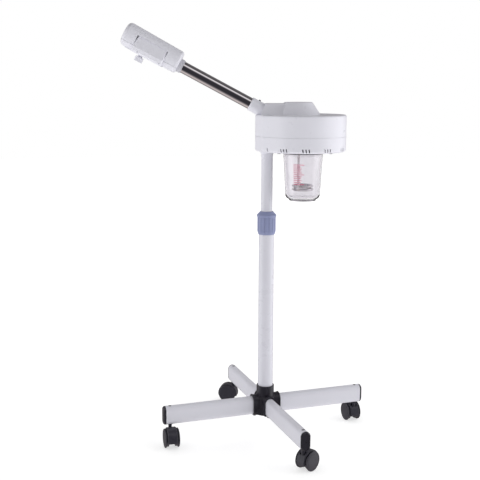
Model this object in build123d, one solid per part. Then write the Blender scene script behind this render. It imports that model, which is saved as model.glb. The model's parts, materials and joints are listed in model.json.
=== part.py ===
"""Facial steamer on a telescopic castor stand.

A steam head with a glass water jar hangs on a two-stage pole above four flat-oval legs.
A chrome arm slopes up from the head and carries the steam nozzle.
Millimetres, +Z up. The origin is on the floor, on the pole's axis. The arm points to -X.
"""
from build123d import *
import math
import os

# ---------------------------------------------------------------- stand
LEG_COUNT = 4
LEG_YAW = 19.0  # heading of the first leg, anticlockwise from +X
LEG_HEIGHT = 50.0  # flat-oval tube, upright
LEG_WIDTH = 25.0
LEG_WALL = 2.0
LEG_TOP_Z = 107.0
LEG_MID_Z = LEG_TOP_Z - LEG_HEIGHT / 2
LEG_BOTTOM_Z = LEG_TOP_Z - LEG_HEIGHT
LEG_INNER_R = 22.5
LEG_OUTER_R = 278.5
LEG_CAP_THICK = 6.0
LEG_CAP_BEVEL = 3.0
LEG_CAP_PANEL_INSET = 4.5
LEG_CAP_PLUG = 5.0
LEG_SCREW_PLACE_R = 31.0  # distance of each leg's fixing screw from the pole axis
LEG_SCREW_R = 3.0

HUB_BOTTOM_Z = 59.0
HUB_BODY_TOP_Z = 108.0
HUB_BODY_R = 36.0
HUB_FLAT_LOW = 32.5  # from the pole's axis to the sloping flats between the sockets, at the bottom
HUB_FLAT_HIGH = 24.0
HUB_COLLAR_R = 23.5
HUB_COLLAR_TOP_Z = 136.0
HUB_SOCKET_R = 38.0
HUB_SOCKET_WALL = 4.0
HUB_RIM = 1.4  # how far the rim at each socket's mouth stands out
HUB_RIM_LENGTH = 2.6
HUB_FLOOR = 5.0
HUB_BOLT_R = 5.0
HUB_WASHER_R = 11.0
HUB_WASHER_THICK = 2.0

FIT = 0.05  # radial clearance of a running fit
GAP = 0.3  # gap between faces that pass each other

# ---------------------------------------------------------------- castors
STEM_PLACE_R = 266.0
STEM_R = 3.5
STEM_BOTTOM_Z = 24.0
SOCKET_R = 7.0
SOCKET_PLUG_R = 4.0
WHEEL_R = 25.0
WHEEL_DRUM_R = 22.0  # the part of each wheel inside the hood
WHEEL_INNER_Y = 9.0
WHEEL_DISC_Y = 15.4
WHEEL_TREAD_Y = 19.0
WHEEL_FACE_Y = 20.3
WHEEL_GROOVE_R = 19.6
AXLE_R = 3.0
CASTOR_TRAIL = 17.0
CASTOR_HEADINGS = (111.0, 168.0, 285.0, 46.0)  # direction from each stem to its wheels
HOOD_R = 28.0
HOOD_INNER_R = 24.5
HOOD_HALF_WIDTH = 13.2
HOOD_BEVEL = 1.8
HOOD_WEB_HALF = 8.6
HOOD_SKIRT_Z = 17.5
HOOD_NECK_R = 4.6
HOOD_POCKET_R = 7.6
HOOD_POCKET_Z = 43.0

# ---------------------------------------------------------------- pole
LOWER_TUBE_R = 20.0
UPPER_TUBE_R = 15.0
TUBE_WALL = 1.5
LOWER_TUBE_TOP_Z = 549.0
UPPER_TUBE_BOTTOM_Z = 215.0
UPPER_TUBE_TOP_Z = 837.9
BUSH_LENGTH = 40.0
COLLAR_BOTTOM_Z = 548.5
COLLAR_TOP_Z = 609.0
COLLAR_R = 24.0
COLLAR_LIP_R = 25.5
COLLAR_SHOULDER_Z = 599.5
COLLAR_FLUTES = 15
COLLAR_FLUTE_R = 2.6
COLLAR_FLUTE_DEPTH = 1.4

# ---------------------------------------------------------------- steam head
DRUM_X = 93.0
DRUM_R = 110.0
LOBE_END_X = -31.0
LOBE_CORNER = (-15.0, 53.0)
LOBE_FRONT_Y = 10.0
LOBE_FRONT_FILLET = 30.0
LOBE_CORNER_FILLET = 5.0
DRUM_TANGENT_ANGLE = 130.0
HEAD_BOTTOM_Z = 766.0
SEAM_Z = 804.5
HEAD_TOP_Z = 859.5
SHELL = 2.5
SEAM_GROOVE = 0.4
LAP_HEIGHT = 3.0
VENT_GROUPS = range(-60, 211, 30)  # bearings from the front
VENT_PITCH = 4.1
VENT_WIDTH = 2.8
VENT_LEAN = 9.0
VENT_BOTTOM_Z = HEAD_BOTTOM_Z + 2.8
VENT_TOP_Z = HEAD_BOTTOM_Z + 12.0
HOUSING_BOSS_ANGLES = (45, 135, 225, 315)
HOUSING_BOSS_PLACE_R = 92.0
HOUSING_BOSS_R = 5.0
HOUSING_SCREW_R = 2.0
SWITCH_Z = 832.0
SWITCH_X_OFFSET = 13.0
PANEL_HALF_WIDTH = 27.8
PANEL_HALF_HEIGHT = 16.8
PANEL_FACE_Y = 105.8
GLAND_Z = 787.0
GLAND_R = 8.0
GLAND_BORE_R = 3.6

CONE_X = 79.0
CONE_BASE_R = 57.0
CONE_TOP_R = 36.0
CONE_TOP_Z = 891.0
RIDGE_TOP_Z = 888.0
RIDGE_BASE_HALF_WIDTH = 36.0  # at the ridge's outer end
RIDGE_TOP_HALF_WIDTH = 16.4
RIDGE_FLARE = 0.031  # growth of the half width per millimetre toward the cone
RIDGE_BASE_X = -17.0
RIDGE_TOP_X = -5.5
BOSS_R = 18.2
HEAD_SOCKET_R = 19.0
HEAD_SOCKET_TOP_Z = 841.5

# ---------------------------------------------------------------- jar and heater
JAR_BOTTOM_Z = 638.5
JAR_WALL_TOP_Z = 752.5
JAR_TOP_R = 51.0
JAR_LOW_R = 45.0
JAR_WALL = 3.0
JAR_FLANGE_R = 53.8
JAR_FLANGE_Z = 762.1
JAR_RIM_Z = 763.6
RING_R = 56.0
RING_BOTTOM_Z = 760.0
RING_TOP_Z = 765.0
PLATE_R = 50.3
PLATE_RIM_R = 55.0
COIL_R = 24.5
COIL_TUBE_R = 3.2
COIL_Z = (676.0, 667.0)
HEATER_LEG_R = 2.4
FERRULE_R = 3.6
HEATER_LEG_X = 82.0
HEATER_LEG_Y = 21.9

# ---------------------------------------------------------------- arm and nozzle
ARM_SLOPE = 27.9
MOUTH_X = -44.3
MOUTH_Z = 887.0
ARM_R = 15.0
ARM_WALL = 1.5
ELBOW_R = 17.5
ELBOW_DEPTH = 52.0
ELBOW_SCREW_S = -18.5
ELBOW_SCREW_R = 1.6
SPIGOT_R = 6.4
STEAM_BORE_R = 4.5
HOSE_R = 9.0
HOSE_START = -125.5
CHAMBER_R = 19.0
ARM_INNER_END = -46.0
ARM_OUTER_END = 230.0
NECK_START = 194.0
NOZZLE_START = 206.0
NOZZLE_END = 364.0
NOZZLE_START_R = 29.2
NOZZLE_END_R = 30.8
NOZZLE_START_BOTTOM = -23.9
NOZZLE_END_BOTTOM = -23.1
NOZZLE_SPLIT = -9.5
NECK_R = 17.6
NECK_COLLAR_R = 16.4
SADDLE_START = 243.0
SADDLE_END = 328.0
SADDLE_TOP = 17.0
SADDLE_FLAT = 25.5  # from the mid plane to the flats under the pads
SPOUT_S = 302.5
SPOUT_STEM_R = 6.0
SPOUT_HEAD_TOP = -29.5
SPOUT_HEAD_HEIGHT = 12.0

# Frame of the arm: local x runs out along the arm, local z is square to it and upward.
SLOPE = math.radians(ARM_SLOPE)
ARM_DIR = Vector(-math.cos(SLOPE), 0, math.sin(SLOPE))
ARM_UP = Vector(math.sin(SLOPE), 0, math.cos(SLOPE))
ARM_PLANE = Plane(origin=(MOUTH_X, 0, MOUTH_Z), x_dir=ARM_DIR, z_dir=ARM_UP)


# ---------------------------------------------------------------- helpers
def upright(radius, z_from, z_to, x=0.0, y=0.0):
    """A solid round bar along Z between two heights."""
    return Pos(x, y, (z_from + z_to) / 2) * Cylinder(radius, z_to - z_from)


def along_x(radius, x_from, x_to, y=0.0, z=0.0):
    """A solid round bar along X between two stations."""
    return Pos((x_from + x_to) / 2, y, z) * Rot(0, 90, 0) * Cylinder(radius, x_to - x_from)


def along_y(radius, y_from, y_to, x=0.0, z=0.0):
    """A solid round bar along Y between two stations."""
    return Pos(x, (y_from + y_to) / 2, z) * Rot(90, 0, 0) * Cylinder(radius, y_to - y_from)


def block(x_from, x_to, y_from, y_to, z_from, z_to):
    """A box given by its faces."""
    centre = Pos((x_from + x_to) / 2, (y_from + y_to) / 2, (z_from + z_to) / 2)
    return centre * Box(x_to - x_from, y_to - y_from, z_to - z_from)


def turned(points):
    """A solid of revolution about Z from (radius, height) points."""
    outline = Plane.XZ * make_face(Polyline(*points, close=True))
    return revolve(outline, Axis.Z)


def flat_oval_bar(height, width, x_from, x_to):
    """A solid bar of upright flat-oval section along X, at the legs' height."""
    section = Plane.YZ.offset(x_from) * Pos(0, LEG_MID_Z) * SlotOverall(height, width, rotation=90)
    return extrude(section, amount=x_to - x_from)


def leg_heading(index):
    """Heading of one leg, in degrees from +X."""
    return LEG_YAW + index * 360.0 / LEG_COUNT


def hexagon_head(across_flats, z_from, z_to, x=0.0, y=0.0):
    """A hexagonal screw head along Z."""
    face = Plane.XY.offset(z_from) * Pos(x, y) * RegularPolygon(across_flats / 2, 6, major_radius=False)
    return extrude(face, amount=z_to - z_from)


# ---------------------------------------------------------------- stand parts
def make_hub():
    """Moulded hub: four flat-oval sockets round a collar that takes the pole."""
    first_leg = Rot(0, 0, LEG_YAW)
    low = Plane.XY.offset(HUB_BOTTOM_Z) * first_leg * RegularPolygon(HUB_FLAT_LOW, 4, major_radius=False)
    high = Plane.XY.offset(HUB_BODY_TOP_Z) * first_leg * RegularPolygon(HUB_FLAT_HIGH, 4, major_radius=False)
    body = loft([low.face(), high.face()], ruled=True)
    body = body & upright(HUB_BODY_R, HUB_BOTTOM_Z, HUB_BODY_TOP_Z)
    hub = body + upright(HUB_COLLAR_R, HUB_BOTTOM_Z, HUB_COLLAR_TOP_Z)
    outer_height = LEG_HEIGHT + 2 * HUB_SOCKET_WALL
    outer_width = LEG_WIDTH + 2 * HUB_SOCKET_WALL
    rim_height = outer_height + 2 * HUB_RIM
    rim_width = outer_width + 2 * HUB_RIM
    for index in range(LEG_COUNT):
        turn = Rot(0, 0, leg_heading(index))
        hub += turn * flat_oval_bar(outer_height, outer_width, 0, HUB_SOCKET_R)
        hub += turn * flat_oval_bar(rim_height, rim_width, HUB_SOCKET_R - HUB_RIM_LENGTH, HUB_SOCKET_R)
    floor_level = block(-60, 60, -60, 60, 0, HUB_BOTTOM_Z)
    hub -= floor_level
    for index in range(LEG_COUNT):
        turn = Rot(0, 0, leg_heading(index))
        hub -= turn * flat_oval_bar(LEG_HEIGHT + 2 * FIT, LEG_WIDTH + 2 * FIT, LEG_INNER_R, 60)
        hub -= turn * upright(LEG_SCREW_R + FIT, LEG_TOP_Z - 1, LEG_TOP_Z + 3, LEG_SCREW_PLACE_R)
    hub -= upright(LOWER_TUBE_R + FIT, HUB_BOTTOM_Z + HUB_FLOOR, HUB_COLLAR_TOP_Z + 10)
    hub -= upright(HUB_BOLT_R + FIT, HUB_BOTTOM_Z - 10, HUB_BOTTOM_Z + 10)
    return hub


def make_leg(index):
    """One flat-oval leg tube with its castor and screw holes."""
    leg = flat_oval_bar(LEG_HEIGHT, LEG_WIDTH, LEG_INNER_R, LEG_OUTER_R)
    inner_height = LEG_HEIGHT - 2 * LEG_WALL
    inner_width = LEG_WIDTH - 2 * LEG_WALL
    leg -= flat_oval_bar(inner_height, inner_width, LEG_INNER_R - 1, LEG_OUTER_R + 1)
    leg -= upright(SOCKET_PLUG_R + FIT, LEG_MID_Z, LEG_TOP_Z + 5, STEM_PLACE_R)
    leg -= upright(SOCKET_R + FIT, LEG_BOTTOM_Z - 5, LEG_MID_Z, STEM_PLACE_R)
    leg -= upright(LEG_SCREW_R + FIT, LEG_BOTTOM_Z - 5, LEG_TOP_Z + 5, LEG_SCREW_PLACE_R)
    return Rot(0, 0, leg_heading(index)) * leg


def make_leg_caps():
    """Bevelled plastic end caps with a sunk panel, plugged into the leg tubes."""
    face = LEG_OUTER_R + LEG_CAP_THICK
    outer = flat_oval_bar(LEG_HEIGHT, LEG_WIDTH, LEG_OUTER_R, face)
    outer = chamfer(outer.edges().group_by(Axis.X)[-1], LEG_CAP_BEVEL)
    panel_height = LEG_HEIGHT - 2 * LEG_CAP_PANEL_INSET
    panel_width = LEG_WIDTH - 2 * LEG_CAP_PANEL_INSET
    outer -= flat_oval_bar(panel_height, panel_width, face - 0.8, face + 1)
    plug_height = LEG_HEIGHT - 2 * LEG_WALL - 2 * FIT
    plug_width = LEG_WIDTH - 2 * LEG_WALL - 2 * FIT
    plug = flat_oval_bar(plug_height, plug_width, LEG_OUTER_R - LEG_CAP_PLUG, LEG_OUTER_R)
    cap = outer + plug
    cap -= along_x(1.6, face - 3, face + 1, 0, LEG_MID_Z)
    return [Rot(0, 0, leg_heading(index)) * cap for index in range(LEG_COUNT)]


def make_castor_sockets():
    """Plastic sleeves inside the legs that hold the castor stems."""
    sleeve = upright(SOCKET_R, LEG_BOTTOM_Z, LEG_TOP_Z - 5.5, STEM_PLACE_R)
    sleeve += upright(SOCKET_PLUG_R, LEG_MID_Z, LEG_TOP_Z - 0.4, STEM_PLACE_R)
    sleeve -= upright(STEM_R + FIT, LEG_BOTTOM_Z - 5, LEG_MID_Z + 12, STEM_PLACE_R)
    return [Rot(0, 0, leg_heading(index)) * sleeve for index in range(LEG_COUNT)]


def make_castor_stems():
    """Steel stems that the castors swivel on."""
    stem = upright(STEM_R, STEM_BOTTOM_Z, LEG_MID_Z + 12, STEM_PLACE_R)
    return [Rot(0, 0, leg_heading(index)) * stem for index in range(LEG_COUNT)]


def make_leg_screws():
    """Hexagon screws from below, one through each leg into its socket's roof."""
    screw = upright(LEG_SCREW_R, LEG_BOTTOM_Z, LEG_TOP_Z + 2.8, LEG_SCREW_PLACE_R)
    screw += hexagon_head(10.0, LEG_BOTTOM_Z - 4, LEG_BOTTOM_Z, LEG_SCREW_PLACE_R)
    return [Rot(0, 0, leg_heading(index)) * screw for index in range(LEG_COUNT)]


def make_hub_bolt():
    """Central bolt and washer that pull the pole down into the hub."""
    seat = HUB_BOTTOM_Z - HUB_WASHER_THICK
    washer = upright(HUB_WASHER_R, seat, HUB_BOTTOM_Z) - upright(HUB_BOLT_R + FIT, seat - 1, HUB_BOTTOM_Z + 1)
    bolt = upright(HUB_BOLT_R, seat, HUB_BOTTOM_Z + HUB_FLOOR + 12)
    bolt += hexagon_head(16.0, seat - 6, seat)
    return [washer, bolt]


def make_castor_hood():
    """Castor body in its own frame: stem on the Z axis, wheels trailing to +X."""
    full = along_y(HOOD_R, -HOOD_HALF_WIDTH, HOOD_HALF_WIDTH, CASTOR_TRAIL, WHEEL_R)
    full = chamfer(full.edges().filter_by(GeomType.CIRCLE), HOOD_BEVEL)
    for side in (-1, 1):
        near = side * HOOD_WEB_HALF
        far = side * (HOOD_HALF_WIDTH + 1)
        full -= along_y(HOOD_INNER_R, min(near, far), max(near, far), CASTOR_TRAIL, WHEEL_R)
    full -= block(-60, 80, -30, 30, -10, HOOD_SKIRT_Z)
    full -= upright(HOOD_POCKET_R, HOOD_POCKET_Z, 70)
    full += upright(HOOD_NECK_R, HOOD_POCKET_Z - 4, LEG_BOTTOM_Z - GAP)
    full -= upright(STEM_R + FIT, STEM_BOTTOM_Z - 1, 70)
    full -= along_y(AXLE_R + FIT, -20, 20, CASTOR_TRAIL, WHEEL_R)
    return full


def make_castor_axle():
    """Steel axle pressed through the castor body."""
    return along_y(AXLE_R, -WHEEL_TREAD_Y + 1, WHEEL_TREAD_Y - 1, CASTOR_TRAIL, WHEEL_R)


def make_wheel(side):
    """One wheel of a castor pair: a drum inside the hood and a wider disc outside it."""
    dome_edge = WHEEL_R - 1.6
    tread = Polyline((0, WHEEL_INNER_Y), (WHEEL_DRUM_R, WHEEL_INNER_Y), (WHEEL_DRUM_R, WHEEL_DISC_Y),
                     (WHEEL_R - 0.6, WHEEL_DISC_Y), (WHEEL_R, WHEEL_DISC_Y + 0.6),
                     (WHEEL_R, WHEEL_TREAD_Y - 1.0), (dome_edge, WHEEL_TREAD_Y))
    rise = WHEEL_FACE_Y - WHEEL_TREAD_Y
    crown_r = (dome_edge ** 2 + rise ** 2) / (2 * rise)
    half_way = dome_edge / 2
    half_way_y = WHEEL_FACE_Y - crown_r + math.sqrt(crown_r ** 2 - half_way ** 2)
    dome = ThreePointArc((dome_edge, WHEEL_TREAD_Y), (half_way, half_way_y), (0, WHEEL_FACE_Y))
    centre = Line((0, WHEEL_FACE_Y), (0, WHEEL_INNER_Y))
    wheel = revolve(Plane.XZ * make_face(tread + dome + centre), Axis.Z)
    wheel -= upright(AXLE_R + FIT, 0, WHEEL_TREAD_Y - 0.9)
    groove = upright(WHEEL_GROOVE_R + 0.8, WHEEL_TREAD_Y - 0.2, WHEEL_FACE_Y + 1)
    wheel -= groove - upright(WHEEL_GROOVE_R, WHEEL_TREAD_Y - 1, WHEEL_FACE_Y + 2)
    return Pos(CASTOR_TRAIL, 0, WHEEL_R) * Rot(-90 * side, 0, 0) * wheel


def castor_place(index):
    """Where castor number index stands, turned to its own heading."""
    heading = math.radians(leg_heading(index))
    x = STEM_PLACE_R * math.cos(heading)
    y = STEM_PLACE_R * math.sin(heading)
    return Pos(x, y, 0) * Rot(0, 0, CASTOR_HEADINGS[index])


# ---------------------------------------------------------------- pole parts
def make_pole_lower():
    """Lower pole tube, closed at the bottom by a welded plate with the bolt's thread."""
    bottom = HUB_BOTTOM_Z + HUB_FLOOR
    tube = upright(LOWER_TUBE_R, bottom, LOWER_TUBE_TOP_Z)
    tube -= upright(LOWER_TUBE_R - TUBE_WALL, bottom + 14, LOWER_TUBE_TOP_Z + 1)
    tube -= upright(HUB_BOLT_R + FIT, bottom - 1, bottom + 20)
    return tube


def make_pole_collet():
    """Split collet in the mouth of the lower tube that grips the upper one."""
    bore = UPPER_TUBE_R + FIT
    top = LOWER_TUBE_TOP_Z
    collet = turned([(bore, top - 44), (LOWER_TUBE_R - TUBE_WALL - FIT, top - 44),
                     (LOWER_TUBE_R - TUBE_WALL - FIT, top), (19.5, top), (19.5, top + 26),
                     (17.4, top + 41), (bore, top + 41)])
    for angle in (0, 90):
        slit = block(-30, 30, -1, 1, top + 12, top + 50)
        collet -= Rot(0, 0, angle) * slit
    return collet


def make_lock_collar():
    """Fluted twist collar that closes the collet."""
    low = COLLAR_BOTTOM_Z
    seat = LOWER_TUBE_TOP_Z + 0.5
    lip = COLLAR_SHOULDER_Z
    collar = turned([(LOWER_TUBE_R + GAP, low), (21.4, low), (COLLAR_R, low + 8.5),
                     (COLLAR_R, lip - 5), (COLLAR_LIP_R, lip - 3.5), (COLLAR_LIP_R, lip),
                     (16.6, COLLAR_TOP_Z), (15.4, COLLAR_TOP_Z), (15.4, lip + 1.5),
                     (19.9, lip - 10.5), (19.9, seat), (LOWER_TUBE_R + GAP, seat)])
    flute_place = COLLAR_R + COLLAR_FLUTE_R - COLLAR_FLUTE_DEPTH
    flute = upright(COLLAR_FLUTE_R, low + 6, lip - 6, flute_place)
    for index in range(COLLAR_FLUTES):
        collar -= Rot(0, 0, 90 + index * 360.0 / COLLAR_FLUTES) * flute
    return collar


def make_pole_upper():
    """Upper pole tube, which slides in the lower one and carries the head."""
    tube = upright(UPPER_TUBE_R, UPPER_TUBE_BOTTOM_Z, UPPER_TUBE_TOP_Z)
    return tube - upright(UPPER_TUBE_R - TUBE_WALL, UPPER_TUBE_BOTTOM_Z - 1, UPPER_TUBE_TOP_Z + 1)


def make_guide_bush():
    """Plastic bush on the upper tube's foot that guides it in the lower tube."""
    top = UPPER_TUBE_BOTTOM_Z + BUSH_LENGTH
    bush = upright(LOWER_TUBE_R - TUBE_WALL - FIT, UPPER_TUBE_BOTTOM_Z - 3, top)
    bush -= upright(UPPER_TUBE_R + FIT, UPPER_TUBE_BOTTOM_Z, top + 1)
    return bush - upright(UPPER_TUBE_R - 4, UPPER_TUBE_BOTTOM_Z - 5, top)


# ---------------------------------------------------------------- steam head parts
def head_outline(inset):
    """Plan of the steam head: a round drum with a faceted lobe over the pole."""
    angle = math.radians(DRUM_TANGENT_ANGLE)
    tangent = (DRUM_X + DRUM_R * math.cos(angle), DRUM_R * math.sin(angle))
    corner = LOBE_CORNER
    front_end = (LOBE_END_X, LOBE_FRONT_Y)
    arc = ThreePointArc((tangent[0], -tangent[1]), (DRUM_X + DRUM_R, 0), tangent)
    edge = Polyline(tangent, corner, front_end, (front_end[0], -front_end[1]),
                    (corner[0], -corner[1]), (tangent[0], -tangent[1]))
    face = make_face(arc + edge)
    left = face.vertices().sort_by(Axis.X)
    face = fillet(left[0:2], LOBE_FRONT_FILLET)
    corners = face.vertices().filter_by(lambda v: abs(abs(v.Y) - corner[1]) < 0.5)
    face = fillet(corners, LOBE_CORNER_FILLET)
    if inset > 0:
        face = offset(face, -inset)
    return face


def head_prism(inset, z_from, z_to):
    """The head's plan, moved in by inset, raised between two heights."""
    return extrude(Plane.XY.offset(z_from) * head_outline(inset), amount=z_to - z_from)


def make_housing_lower():
    """Lower shell: floor, wall with vent slots, and a lap joint at its rim."""
    outer = head_prism(0, HEAD_BOTTOM_Z, SEAM_Z)
    outer = fillet(outer.edges().group_by(Axis.Z)[0], 7.0)
    shell = outer - head_prism(SHELL, HEAD_BOTTOM_Z + SHELL, SEAM_Z + 5)
    lap = head_prism(1.3, SEAM_Z - 1, SEAM_Z + LAP_HEIGHT) - head_prism(SHELL, 0, SEAM_Z + 10)
    shell += lap
    vent_height = VENT_TOP_Z - VENT_BOTTOM_Z
    vent_place = Plane.YZ.offset(DRUM_R - 6) * Pos(0, (VENT_TOP_Z + VENT_BOTTOM_Z) / 2)
    vent_face = vent_place * SlotOverall(vent_height, VENT_WIDTH, rotation=90 + VENT_LEAN)
    vent = extrude(vent_face, amount=12)
    for bearing in VENT_GROUPS:
        for step in (-1, 0, 1):
            turn = Rot(0, 0, bearing + step * VENT_PITCH - 90)
            shell -= Pos(DRUM_X, 0, 0) * turn * vent
    shell -= upright(BOSS_R + FIT, HEAD_BOTTOM_Z - 5, HEAD_BOTTOM_Z + 20)
    shell -= upright(PLATE_R + 0.2, HEAD_BOTTOM_Z - 5, HEAD_BOTTOM_Z + 20, DRUM_X)
    for angle in HOUSING_BOSS_ANGLES:
        place = Pos(DRUM_X, 0, 0) * Rot(0, 0, angle)
        boss = upright(HOUSING_BOSS_R, HEAD_BOTTOM_Z + 1, SEAM_Z - 2, HOUSING_BOSS_PLACE_R)
        bore = upright(HOUSING_SCREW_R + FIT, HEAD_BOTTOM_Z - 5, SEAM_Z + 5, HOUSING_BOSS_PLACE_R)
        shell += place * boss
        shell -= place * bore
    shell -= along_y(GLAND_R + FIT, 90, 130, DRUM_X, GLAND_Z)
    return shell


def make_housing_upper():
    """Upper shell: wall and top, with the cut-outs for the arm and the switch panel."""
    outer = head_prism(0, SEAM_Z + SEAM_GROOVE, HEAD_TOP_Z)
    outer = fillet(outer.edges().group_by(Axis.Z)[-1], 5.0)
    shell = outer - head_prism(SHELL, 0, HEAD_TOP_Z - SHELL)
    shell -= head_prism(1.2, 0, SEAM_Z + LAP_HEIGHT + 0.3)
    shell -= ARM_PLANE.location * along_x(ELBOW_R + GAP, -95, 10)
    half_width = PANEL_HALF_WIDTH + GAP
    half_height = PANEL_HALF_HEIGHT + GAP
    low = SWITCH_Z - half_height
    shell -= block(DRUM_X - half_width, DRUM_X + half_width, 99, 120, low, low + 2 * half_height)
    for angle in HOUSING_BOSS_ANGLES:
        place = Pos(DRUM_X, 0, 0) * Rot(0, 0, angle)
        boss = upright(HOUSING_BOSS_R, SEAM_Z - 1.5, HEAD_TOP_Z - 1, HOUSING_BOSS_PLACE_R)
        bore = upright(HOUSING_SCREW_R + FIT, SEAM_Z - 5, SEAM_Z + 18, HOUSING_BOSS_PLACE_R)
        shell += place * boss
        shell -= place * bore
    return shell


def make_housing_screws():
    """Long screws from below that close the two shells."""
    screws = []
    place_r = HOUSING_BOSS_PLACE_R
    for angle in HOUSING_BOSS_ANGLES:
        screw = upright(HOUSING_SCREW_R, HEAD_BOTTOM_Z - 1.0, SEAM_Z + 16, place_r)
        screw += upright(HOUSING_SCREW_R * 2, HEAD_BOTTOM_Z - 2.2, HEAD_BOTTOM_Z, place_r)
        slot = block(place_r - 5, place_r + 5, -0.5, 0.5, HEAD_BOTTOM_Z - 3, HEAD_BOTTOM_Z - 1.4)
        screws.append(Pos(DRUM_X, 0, 0) * Rot(0, 0, angle) * (screw - slot))
    return screws


def ridge_plan(end_x, end_half_width, height):
    """Level section through the ridge, which widens from its outer end to the cone."""
    wide = end_half_width + RIDGE_FLARE * (CONE_X - end_x)
    corners = [(end_x, -end_half_width), (CONE_X, -wide), (CONE_X, wide), (end_x, end_half_width)]
    return Plane.XY.offset(height) * make_face(Polyline(*corners, close=True))


def dome_solid(inset):
    """The raised cover: a truncated cone with a ridge that runs to the elbow."""
    cone = Cone(CONE_BASE_R - inset, CONE_TOP_R - inset, CONE_TOP_Z - inset - HEAD_TOP_Z)
    cone = Pos(CONE_X, 0, (CONE_TOP_Z - inset + HEAD_TOP_Z) / 2) * cone
    cone = fillet(cone.edges().group_by(Axis.Z)[-1], 3.0)
    height = RIDGE_TOP_Z - HEAD_TOP_Z
    side_run = (RIDGE_BASE_HALF_WIDTH - RIDGE_TOP_HALF_WIDTH) / height
    end_run = (RIDGE_TOP_X - RIDGE_BASE_X) / height
    side_shift = inset * math.sqrt(1 + side_run ** 2)
    end_shift = inset * math.sqrt(1 + end_run ** 2)
    low = ridge_plan(RIDGE_BASE_X + end_shift, RIDGE_BASE_HALF_WIDTH - side_shift, HEAD_TOP_Z)
    high = ridge_plan(RIDGE_TOP_X - end_run * inset + end_shift,
                      RIDGE_TOP_HALF_WIDTH + side_run * inset - side_shift, RIDGE_TOP_Z - inset)
    ridge = loft([low, high], ruled=True)
    top_long = ridge.edges().group_by(Axis.Z)[-1].filter_by(lambda e: abs(e.tangent_at(0.5).X) > 0.9)
    ridge = fillet(top_long, 4.0)
    return cone + ridge


def make_dome_cap():
    """Hollow dome moulding over the steam duct."""
    cap = dome_solid(0) - dome_solid(SHELL)
    return cap - ARM_PLANE.location * along_x(ELBOW_R + GAP, -95, 10)


def make_elbow():
    """Socket that holds the arm, with a hose spigot at its inner end."""
    socket = along_x(ELBOW_R, -ELBOW_DEPTH, 0)
    socket = chamfer(socket.edges().group_by(Axis.X)[-1], 0.8)
    socket -= along_x(ARM_R + FIT, ARM_INNER_END - 0.5, 5)
    socket += along_x(SPIGOT_R, -ELBOW_DEPTH - 10, -ELBOW_DEPTH + 1)
    socket -= along_x(STEAM_BORE_R, -ELBOW_DEPTH - 15, 0)
    socket -= upright(ELBOW_SCREW_R + FIT, 5, 30, ELBOW_SCREW_S)
    return ARM_PLANE.location * socket


def make_elbow_screw():
    """Small grip screw on top of the elbow that locks the arm's turn."""
    screw = upright(ELBOW_SCREW_R, ARM_R + 0.4, ELBOW_R + 1, ELBOW_SCREW_S)
    screw += upright(ELBOW_SCREW_R + 0.9, ELBOW_R + 0.3, ELBOW_R + 2.5, ELBOW_SCREW_S)
    screw -= upright(1.0, ELBOW_R + 1.3, ELBOW_R + 6, ELBOW_SCREW_S)
    return ARM_PLANE.location * screw


def make_pole_boss():
    """Tapered sleeve where the pole enters the head."""
    foot = HEAD_BOTTOM_Z - 7.0
    floor = HEAD_BOTTOM_Z + SHELL
    bore = UPPER_TUBE_R + 0.4
    return turned([(bore, foot), (bore + 1, foot), (BOSS_R, HEAD_BOTTOM_Z), (BOSS_R, floor),
                   (BOSS_R + 3.8, floor), (BOSS_R + 3.8, floor + 2), (bore, floor + 2)])


def make_head_socket():
    """Metal cup that sits on the pole's top and carries the head."""
    low = HEAD_BOTTOM_Z + SHELL + 2.0
    bore = UPPER_TUBE_R + FIT
    roof = UPPER_TUBE_TOP_Z + 0.1
    return turned([(bore, low), (27.0, low), (27.0, low + 3), (HEAD_SOCKET_R, low + 3),
                   (HEAD_SOCKET_R, HEAD_SOCKET_TOP_Z), (0, HEAD_SOCKET_TOP_Z), (0, roof), (bore, roof)])


def make_heater_plate():
    """Round plate over the jar that carries the heater and the steam chamber."""
    low = HEAD_BOTTOM_Z - 1.0
    rim = HEAD_BOTTOM_Z + SHELL
    plate = turned([(0, low), (PLATE_R, low), (PLATE_R, rim), (PLATE_RIM_R, rim),
                    (PLATE_RIM_R, rim + 2), (0, rim + 2)])
    plate = Pos(DRUM_X, 0, 0) * plate
    plate -= upright(9.0, low - 5, rim + 10, DRUM_X)
    for side in (-1, 1):
        plate -= upright(HEATER_LEG_R + FIT, low - 5, rim + 10, HEATER_LEG_X, side * HEATER_LEG_Y)
    return plate


def make_heater_coil():
    """Sheathed heater: two stacked rings joined by ferrules to two upright legs."""
    coil = None
    for height in COIL_Z:
        ring = Pos(DRUM_X, 0, height) * Torus(COIL_R, COIL_TUBE_R)
        coil = ring if coil is None else coil + ring
    leg_top = HEAD_BOTTOM_Z + 19.0
    for side in (-1, 1):
        coil += upright(FERRULE_R, COIL_Z[1] - 2, COIL_Z[0] + 3, HEATER_LEG_X, side * HEATER_LEG_Y)
        coil += upright(HEATER_LEG_R, COIL_Z[0] + 2, leg_top, HEATER_LEG_X, side * HEATER_LEG_Y)
        coil += upright(1.2, leg_top - 1, leg_top + 8, HEATER_LEG_X, side * HEATER_LEG_Y)
    return coil


def make_jar_gasket():
    """Flat rubber seal between the jar's rim and the heater plate."""
    ring = upright(JAR_FLANGE_R - 0.4, JAR_RIM_Z + 0.15, HEAD_BOTTOM_Z - 1.0, DRUM_X)
    return ring - upright(JAR_TOP_R - JAR_WALL - 1, JAR_RIM_Z - 5, HEAD_BOTTOM_Z + 5, DRUM_X)


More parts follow.
